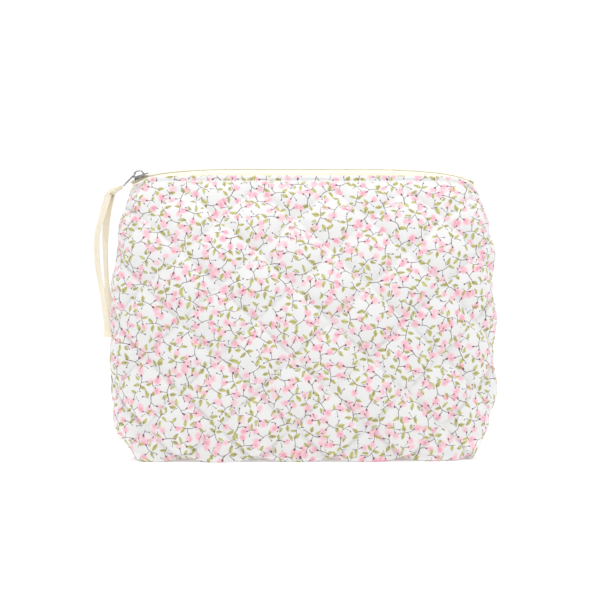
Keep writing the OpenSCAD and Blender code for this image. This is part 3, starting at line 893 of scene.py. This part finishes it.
def fill_out(piece, side):
    """Lets the printed cloth fill out over its wadding, held along its stitching, and keeps that shape."""
    place = points_of(piece)
    flat = np.zeros(place.size, np.float32)
    piece.data.attributes["cloth"].data.foreach_get("vector", flat)
    flat = flat.reshape(-1, 3)[:, :2]
    if side == "back":
        flat = (flat - BACK_SHIFT) * [-1, 1]
    _, depth, height = abs(place).T
    held = (quilting(flat)[2] < HELD_SEAM) | (depth < HELD_SIDE) | (height < HELD_FOOT) | (height > HELD_TOP)
    group = piece.vertex_groups.new(name="held")
    group.add(np.flatnonzero(held).tolist(), 1.0, "REPLACE")
    filling = piece.modifiers.new("filling", "CLOTH")
    soft = filling.settings
    soft.vertex_group_mass = group.name
    soft.mass = FILL_MASS
    soft.quality = 3
    soft.air_damping = soft.tension_damping = soft.compression_damping = soft.shear_damping = 0
    soft.use_pressure = True
    soft.uniform_pressure_force = FILL_PUSH
    soft.effector_weights.gravity = 0
    for step in range(1, FILL_STEPS + 1):
        bpy.context.scene.frame_set(step)
    filled = np.zeros(place.size)
    piece.evaluated_get(bpy.context.evaluated_depsgraph_get()).data.vertices.foreach_get("co", filled)
    piece.modifiers.remove(filling)
    piece.vertex_groups.remove(group)
    bpy.context.scene.frame_set(1)
    move = filled.reshape(-1, 3) - place
    far = np.linalg.norm(move, axis=1, keepdims=True)
    move *= np.minimum(1, FILL_CAP / np.maximum(far, 1e-9))
    piece.data.vertices.foreach_set("co", (place + move).ravel())


def thicken(piece, thick):
    """Gives an open cloth its thickness, inwards."""
    solid = piece.modifiers.new("thickness", "SOLIDIFY")
    solid.thickness = thick
    solid.offset = -1
    solid.use_even_offset = False
    return piece


def cloth_layer(name, side, columns, rows, inset, thick, material, share, roll=False):
    """One layer of one side of the bag. share is how much of the quilting shows on it.

    Returns the layer's object, its grid of points, and what part of the layer each row belongs to.
    """
    seed = 5 if side == "front" else 8
    points, kind = layer_grid(columns, rows, inset, roll)
    cloth = flat_pattern(points, kind)
    height = relief(kind, cloth, seed) * share
    surface = to_side(raised(points, kind, height), side)
    faces = grid_faces(*points.shape[:2])
    if side == "back":
        faces = faces[:, ::-1]
        cloth = cloth * [-1, 1] + BACK_SHIFT
    piece = tidy_mesh(put_mesh(f"{name}_{side}", surface, faces, material, cloth), closed=False)
    if roll:
        fill_out(piece, side)
    thicken(piece, thick)
    open_with(piece)
    return piece, surface, kind


def make_layers(side):
    """The printed cotton, the wadding and the lining of one side."""
    outer, surface, kind = cloth_layer("panel", side, 251, 150, 0.0, PRINT_T, PRINT, 1.0, roll=True)
    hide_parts(f"{side}_panel", f"{side}_upper_panel")
    gap = 0.15 * MM
    middle, _, _ = cloth_layer("padding", side, 141, 60, PRINT_T + gap, WADDING_T - 2 * gap, WADDING, 0.7)
    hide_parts(f"{side}_wadding", f"{side}_upper_wadding")
    inner, _, _ = cloth_layer("lining", side, 181, 90, PRINT_T + WADDING_T, LINING_T, LINING, 0.25)
    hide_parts(f"{side}_lining", f"{side}_upper_lining")
    return surface, kind


SURFACE = {side: make_layers(side) for side in ("front", "back")}


# ---------------------------------------------------------------- zip

# Half of the zip's length, half of its level stretch, the length that sags, and the coil's windings.
ZIP_HALF = 107 * MM
ZIP_LEVEL = 45 * MM
ZIP_SAG = 65 * MM
COIL_PITCH = 1.15 * MM
COIL_WIRE = 0.42 * MM


def zip_height(x):
    """Height of the coil's centre: level, then sagging slowly and at last steeply towards each end."""
    past = np.maximum(abs(x) - ZIP_LEVEL, 0) / ZIP_SAG
    return COIL_Z - (5.6 * past ** 2 + 4.8 * past ** 8) * MM


def mouth_edge(x, inset):
    """Half depth and height of the hem at a place x, at an inset from the outside."""
    z = np.full_like(x, ROLL_Z)
    n = HEM_SQUARENESS
    across = np.clip(abs(x) / (half_width(z) - inset), 0, 0.999)
    y = (half_depth(z) - inset) * (1 - across ** n) ** (1 / n)
    return y, z - SHOULDER_DROP * across ** DROP_TURN


def make_tape(side):
    """A woven strip from the coil down to the inside of the hem."""
    x = np.linspace(-ZIP_HALF, ZIP_HALF, 220)[:, None]
    w = np.linspace(0, 1, 16)[None]
    y_in, z_in = mouth_edge(x, WALL_T - 0.2 * MM)
    y = 0.35 * MM + (np.maximum(y_in, 0.8 * MM) - 0.35 * MM) * w
    top = zip_height(x) - 0.55 * MM
    z = top - 0.5 * MM * w - np.maximum(top - z_in + 2.5 * MM, 0) * w ** 4
    points = to_side(slouch(np.stack([x + 0 * w, -y, z], -1)), side)
    cloth = np.stack([x + 0 * w, 9 * MM * w + 0 * x], -1)
    faces = grid_faces(*points.shape[:2])
    if side == "back":
        faces = faces[:, ::-1]
    tape = put_mesh(f"tape_{side}", points, faces, TAPE, cloth)
    thicken(tape, 0.5 * MM)
    open_with(tape)
    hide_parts(f"{side}_zip_tape")


def make_coil(side):
    """A flattened nylon helix: it circles as it runs along the zip, a little past the middle line."""
    turns = int(2 * ZIP_HALF / COIL_PITCH)
    t = np.linspace(0, turns, turns * 12 + 1)
    x = -ZIP_HALF + t * COIL_PITCH + (COIL_PITCH / 2 if side == "back" else 0)
    a = 2 * np.pi * t
    y = -0.95 * MM - 1.35 * MM * np.cos(a)
    z = zip_height(x) + 0.75 * MM * np.sin(a)
    path = to_side(np.stack([x, y, z], 1), side)
    coil = tube(f"coil_{side}", path, np.array([0.0, 0.3, 1.0]), round_section(COIL_WIRE, 6), NYLON)
    open_with(coil)
    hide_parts(f"{side}_zip_coil")


def make_zip_end(name, sign):
    """The end of the tape, folded under where the two hems meet."""
    x = sign * np.linspace(100 * MM, 109.5 * MM, 24)
    z = zip_height(x) - 1.6 * MM - 2.0 * MM * smooth(abs(x), 105 * MM, 109.5 * MM)
    path = slouch(np.stack([x, 0 * x, z], 1))
    y_in, _ = mouth_edge(x, WALL_T)
    wide = np.maximum(y_in, 2.2 * MM) / (4 * MM)
    section = flat_section(8 * MM, 0.9 * MM, 32)
    shape = np.repeat(section[None], len(x), 0)
    shape[..., 0] *= wide[:, None]
    cloth = np.stack([shape[..., 0], np.repeat(abs(x)[:, None], 32, 1)], -1)
    piece = tube(name, path, ALONG_Y, shape, TAPE, cloth=cloth)
    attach(piece, "shell")
    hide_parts(name.replace("tab", "zip_end"))


def make_bar_tack(name, sign):
    """A block of close stitches across the zip's end."""
    parts = []
    for i in range(7):
        x = sign * (104.6 * MM + i * 0.42 * MM)
        y = np.linspace(-3.1, 3.1, 12) * MM
        lift = 0.35 * MM * (1 - (y / (3.3 * MM)) ** 4)
        z = zip_height(np.full_like(y, x)) + 0.55 * MM + lift
        path = np.stack([x + 0.12 * MM * np.sin(i * 2.1) * np.sign(y), y, z], 1)
        parts.append(capped(sweep(path, ALONG_X, round_section(0.24 * MM, 8))))
    piece = joined(name, parts, THREAD)
    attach(piece, "shell")
    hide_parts(name.replace("tack", "bar_tack"))


def make_topstitch(side):
    """Separate stitches laid along the groove under the hem, each dipping in at its two ends."""
    surface, kind = SURFACE[side]
    row = surface[wall_span(kind)[1] - 1]
    sign = 1 if side == "front" else -1
    step = np.append(0, np.cumsum(np.linalg.norm(np.diff(row, axis=0), axis=1)))
    parts = []
    pitch = 3.1 * MM
    for i in range(int((step[-1] - 16 * MM) / pitch)):
        s = 8 * MM + i * pitch + np.linspace(0, 2.5 * MM, 7)
        path = np.stack([np.interp(s, step, row[:, k]) for k in range(3)], 1)
        bow = np.sin(np.linspace(0, np.pi, 7)) * 0.22 * MM
        path[:, 1] -= sign * (bow + 0.02 * MM)
        parts.append(capped(sweep(path, ALONG_Z, round_section(0.22 * MM, 6))))
    piece = joined(f"topstitch_{side}", parts, THREAD)
    open_with(piece)
    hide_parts(f"{side}_topstitch")


for side in ("front", "back"):
    make_tape(side)
    make_coil(side)
    make_topstitch(side)
for end, sign in (("left", -1), ("right", 1)):
    make_zip_end(f"{end}_tab", sign)
    make_bar_tack(f"{end}_tack", sign)


# ---------------------------------------------------------------- bound seams inside

def make_binding(name, path, side):
    """A bound seam allowance: a soft, slightly wavy flat band."""
    section = flat_section(7 * MM, 1.5 * MM, 32, 3)
    share = np.linspace(0, 1, len(path))
    shape = np.repeat(section[None], len(path), 0)
    shape[..., 1] += (0.18 * MM * np.sin(34 * share))[:, None] * (section[None, :, 0] / (3.5 * MM))
    cloth = np.stack([shape[..., 0], np.repeat(share[:, None] * 0.1, 32, 1)], -1)
    piece = tube(name, path, side, shape, BIAS, cloth=cloth)
    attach(piece, "shell")
    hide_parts(name.replace("bound_", "") + "_binding")


def make_bindings():
    """The two side seams, the base seam and the two boxed corners."""
    z = np.linspace(18 * MM, 150 * MM, 80)
    for name, sign in (("bound_left_side", -1), ("bound_right_side", 1)):
        x = sign * (half_width(z) - WALL_T - 3.7 * MM)
        make_binding(name, np.stack([x, 0 * x, z], 1), ALONG_X)
    floor = WALL_T + 1.3 * MM
    corner_x = BASE_W / 2 - WALL_T - 17.5 * MM
    x = np.linspace(-corner_x + 4 * MM, corner_x - 4 * MM, 80)
    make_binding("bound_base", np.stack([x, 0 * x, 0 * x + floor], 1), ALONG_Y)
    y = np.linspace(-22 * MM, 22 * MM, 40)
    for name, sign in (("bound_left_corner", -1), ("bound_right_corner", 1)):
        make_binding(name, np.stack([0 * y + sign * corner_x, y, 0 * y + floor], 1), ALONG_X)


make_bindings()


# ---------------------------------------------------------------- slider and ring

def on_slider(points):
    """Moves points from the slider's own frame, in millimetres, to its place at rest."""
    x = points[..., 0] * math.cos(TILT) - points[..., 2] * math.sin(TILT)
    z = points[..., 0] * math.sin(TILT) + points[..., 2] * math.cos(TILT)
    return np.stack([x, points[..., 1], z], -1) * MM + SLIDER


def slab(x, half, low, high, ease):
    """A plate with eased edges: outline rings that step in a little at the bottom and the top."""
    outline = np.stack([np.append(x, x[::-1]), np.append(half, -half[::-1])], 1)
    centre = np.array([x.mean(), 0])
    levels = [(low, ease), (low + 0.3 * ease, 0.3 * ease), (low + ease, 0), (high - ease, 0),
              (high - 0.3 * ease, 0.3 * ease), (high, ease)]
    reach = np.linalg.norm(outline - centre, axis=1, keepdims=True)
    rings = [np.column_stack([centre + (outline - centre) * (1 - inset / reach), np.full(len(outline), z)])
             for z, inset in levels]
    return capped(np.array(rings))


def make_slider():
    """Two plates joined by a post, rims along their sides, and a bail over the top plate."""
    u = np.linspace(-1, 1, 41)
    x = 5 * np.sign(u) * abs(np.sin(u * np.pi / 2)) ** 0.9
    half = (4.5 - 0.45 * (u + 1)) * np.maximum(1 - abs(u) ** 5, 0.0) ** 0.4 + 0.02
    parts = [slab(x, half, 1.9, 2.75, 0.22), slab(x, half, -2.75, -1.9, 0.22)]
    post = np.array([[-3.1, 0, -2.2], [-3.1, 0, 0], [-3.1, 0, 2.2]])
    parts.append(capped(sweep(post, ALONG_X, flat_section(2.6, 1.7, 24, 2))))
    rim_x = np.linspace(-3.2, 2.6, 14)
    for side in (-1, 1):
        for z in (1.72, -1.72):
            rim = np.stack([rim_x, side * (3.95 - 0.09 * rim_x), np.full(14, z)], 1)
            parts.append(capped(sweep(rim, ALONG_Y, flat_section(0.7, 0.6, 16))))
    a = np.linspace(0, np.pi, 25)
    hoop = np.stack([-1.2 + 3.0 * np.sign(np.cos(a)) * abs(np.cos(a)) ** 0.75, 0 * a,
                     2.6 + 2.85 * np.sin(a) ** 0.8], 1)
    flare = 1 + 0.3 * smooth(4.0 - hoop[:, 2], 0, 1.4)
    parts.append(capped(sweep(hoop, ALONG_Y, flat_section(1.9, 0.8, 20, 3), flare)))
    piece = joined("slider_body", [(on_slider(p), f) for p, f in parts], NICKEL)
    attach(piece, "slider")
    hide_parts("slider")


def make_ring():
    """A long loop of round wire from under the bail to the ribbon."""
    along = unit(RING_END - PIN)
    reach = np.linalg.norm(RING_END - PIN)
    r = 2.5 * MM
    a = np.linspace(-np.pi / 2, np.pi / 2, 19)
    far = PIN + (reach - r + r * np.cos(a))[:, None] * along + (r * np.sin(a))[:, None] * ALONG_Y
    near = PIN + (r - r * np.cos(a))[:, None] * along - (r * np.sin(a))[:, None] * ALONG_Y
    t = np.linspace(0, 1, 12)[1:-1, None]
    path = np.vstack([far, far[-1] * (1 - t) + near[0] * t, near, near[-1] * (1 - t) + far[0] * t])
    section = round_section(0.5 * MM, 14)
    points = sweep_ring(path, PIN + along * reach / 2, section)
    faces = grid_faces(*points.shape[:2], wrap=True, ring=True)
    piece = tidy_mesh(put_mesh("ring", points, faces, NICKEL))
    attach(piece, "pull")
    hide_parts("pull_ring")


make_slider()
make_ring()
